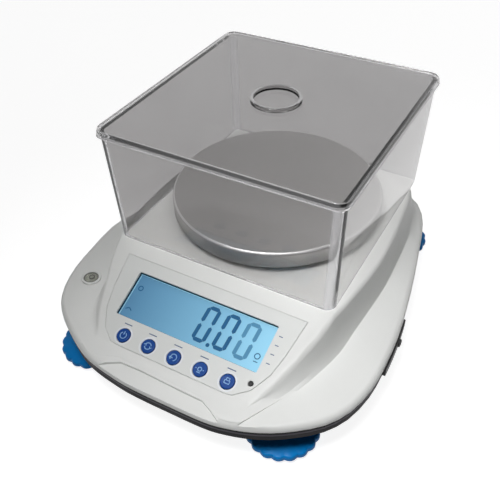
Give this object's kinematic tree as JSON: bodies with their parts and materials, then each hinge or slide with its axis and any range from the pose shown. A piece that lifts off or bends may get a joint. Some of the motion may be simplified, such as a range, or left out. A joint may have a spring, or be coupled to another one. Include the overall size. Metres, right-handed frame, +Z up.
{
  "type": "laboratory balance",
  "caption": "Top-loading laboratory balance with a sloping display console, a round steel pan, a clear lift-off draft shield and screw feet.",
  "frame": {"origin": "on the bench, under the middle of the body", "axes": "+X to the user's right, +Y to the back, +Z up"},
  "size_m": [0.2076, 0.2352, 0.1326],
  "materials": {
    "shell_white": "satin moulded plastic",
    "base_charcoal": "satin moulded plastic",
    "overlay_pale": "smooth film",
    "clear_smoke": "clear, slightly smoky acrylic",
    "lcd_blue": "lit display",
    "board_green": "circuit board lacquer",
    "key_blue": "smooth",
    "plastic_black": "fine moulded texture",
    "level_clear": "clear with pale green fluid",
    "steel_brushed": "brushed stainless steel",
    "aluminium_plain": "machined",
    "zinc_plain": "zinc plated",
    "rubber_black": "matt",
    "foot_blue": "smooth moulded",
    "brass_plain": "turned"
  },
  "bodies": {
    "base": {"upper_shell": "shell_white", "dust_collar": "shell_white", "base_tray": "base_charcoal", "keypad_overlay": "overlay_pale", "level_bezel": "overlay_pale", "display_lens": "clear_smoke", "lcd_module": "lcd_blue", "display_board": "board_green", "main_board": "board_green", "key_switch_1": "plastic_black", "key_switch_2": "plastic_black", "key_switch_3": "plastic_black", "key_switch_4": "plastic_black", "key_switch_5": "plastic_black", "status_indicator": "plastic_black", "power_inlet": "plastic_black", "data_port": "plastic_black", "level_vial": "level_clear", "load_cell": "aluminium_plain", "cell_mount_block": "aluminium_plain", "cell_bolt_1": "zinc_plain", "cell_bolt_2": "zinc_plain", "overload_stop": "zinc_plain", "case_screw_1": "zinc_plain", "case_screw_2": "zinc_plain", "case_screw_3": "zinc_plain", "case_screw_4": "zinc_plain", "foot_insert_1": "brass_plain", "foot_insert_2": "brass_plain", "foot_insert_3": "brass_plain", "foot_insert_4": "brass_plain"},
    "weigh_stage": {"pan_post": "zinc_plain", "pan_carrier": "aluminium_plain", "pan_pad_1": "rubber_black", "pan_pad_2": "rubber_black", "pan_pad_3": "rubber_black", "pan_pad_4": "rubber_black"},
    "pan": {"weighing_pan": "steel_brushed"},
    "walls": {"shield_walls": "clear_smoke"},
    "lid": {"shield_lid": "clear_smoke"},
    "power_button": {"power_key": "key_blue"},
    "unit_button": {"unit_key": "key_blue"},
    "tare_button": {"tare_key": "key_blue"},
    "zero_button": {"zero_key": "key_blue"},
    "print_button": {"print_key": "key_blue"},
    "foot_1_lift": {"foot_pad_1": "rubber_black"},
    "foot_1_turn": {"foot_wheel_1": "foot_blue", "foot_stud_1": "zinc_plain"},
    "foot_2_lift": {"foot_pad_2": "rubber_black"},
    "foot_2_turn": {"foot_wheel_2": "foot_blue", "foot_stud_2": "zinc_plain"},
    "foot_3_lift": {"foot_pad_3": "rubber_black"},
    "foot_3_turn": {"foot_wheel_3": "foot_blue", "foot_stud_3": "zinc_plain"},
    "foot_4_lift": {"foot_pad_4": "rubber_black"},
    "foot_4_turn": {"foot_wheel_4": "foot_blue", "foot_stud_4": "zinc_plain"}
  },
  "joints": [
    {"name": "weigh_stage_sink", "type": "slide", "parent": "base", "child": "weigh_stage", "axis": [0, 0, 1], "range_m": [-0.00025, 0], "stiffness_N_per_m": 30000, "springref_m": 0.0001},
    {"name": "pan_lift", "type": "slide", "parent": "weigh_stage", "child": "pan", "axis": [0, 0, 1], "range_m": [0, 0.04]},
    {"name": "walls_lift", "type": "slide", "parent": "base", "child": "walls", "axis": [0, 0, 1], "range_m": [0, 0.09]},
    {"name": "lid_lift", "type": "slide", "parent": "walls", "child": "lid", "axis": [0, 0, 1], "range_m": [0, 0.06]},
    {"name": "power_press", "type": "slide", "parent": "base", "child": "power_button", "axis": [0, 0.3714, -0.9285], "range_m": [0, 0.0005], "stiffness_N_per_m": 800, "springref_m": -0.0004},
    {"name": "unit_press", "type": "slide", "parent": "base", "child": "unit_button", "axis": [0, 0.3714, -0.9285], "range_m": [0, 0.0005], "stiffness_N_per_m": 800, "springref_m": -0.0004},
    {"name": "tare_press", "type": "slide", "parent": "base", "child": "tare_button", "axis": [0, 0.3714, -0.9285], "range_m": [0, 0.0005], "stiffness_N_per_m": 800, "springref_m": -0.0004},
    {"name": "zero_press", "type": "slide", "parent": "base", "child": "zero_button", "axis": [0, 0.3714, -0.9285], "range_m": [0, 0.0005], "stiffness_N_per_m": 800, "springref_m": -0.0004},
    {"name": "print_press", "type": "slide", "parent": "base", "child": "print_button", "axis": [0, 0.3714, -0.9285], "range_m": [0, 0.0005], "stiffness_N_per_m": 800, "springref_m": -0.0004},
    {"name": "foot_1_height", "type": "slide", "parent": "base", "child": "foot_1_lift", "axis": [0, 0, 1], "range_m": [-0.002, 0.0025]},
    {"name": "foot_1_turning", "type": "hinge", "parent": "foot_1_lift", "child": "foot_1_turn", "pos_m": [-0.0645, -0.0859, 0.006], "axis": [0, 0, 1], "range_deg": [-580, 725]},
    {"name": "foot_2_height", "type": "slide", "parent": "base", "child": "foot_2_lift", "axis": [0, 0, 1], "range_m": [-0.002, 0.0025]},
    {"name": "foot_2_turning", "type": "hinge", "parent": "foot_2_lift", "child": "foot_2_turn", "pos_m": [0.0645, -0.0859, 0.006], "axis": [0, 0, 1], "range_deg": [-580, 725]},
    {"name": "foot_3_height", "type": "slide", "parent": "base", "child": "foot_3_lift", "axis": [0, 0, 1], "range_m": [-0.002, 0.0025]},
    {"name": "foot_3_turning", "type": "hinge", "parent": "foot_3_lift", "child": "foot_3_turn", "pos_m": [-0.0645, 0.0955, 0.006], "axis": [0, 0, 1], "range_deg": [-580, 725]},
    {"name": "foot_4_height", "type": "slide", "parent": "base", "child": "foot_4_lift", "axis": [0, 0, 1], "range_m": [-0.002, 0.0025]},
    {"name": "foot_4_turning", "type": "hinge", "parent": "foot_4_lift", "child": "foot_4_turn", "pos_m": [0.0645, 0.0955, 0.006], "axis": [0, 0, 1], "range_deg": [-580, 725]}
  ],
  "couplings": [
    {"joint": "foot_1_turning", "follows": "foot_1_height", "rad_per_m": 5026.5},
    {"joint": "foot_2_turning", "follows": "foot_2_height", "rad_per_m": 5026.5},
    {"joint": "foot_3_turning", "follows": "foot_3_height", "rad_per_m": 5026.5},
    {"joint": "foot_4_turning", "follows": "foot_4_height", "rad_per_m": 5026.5}
  ]
}
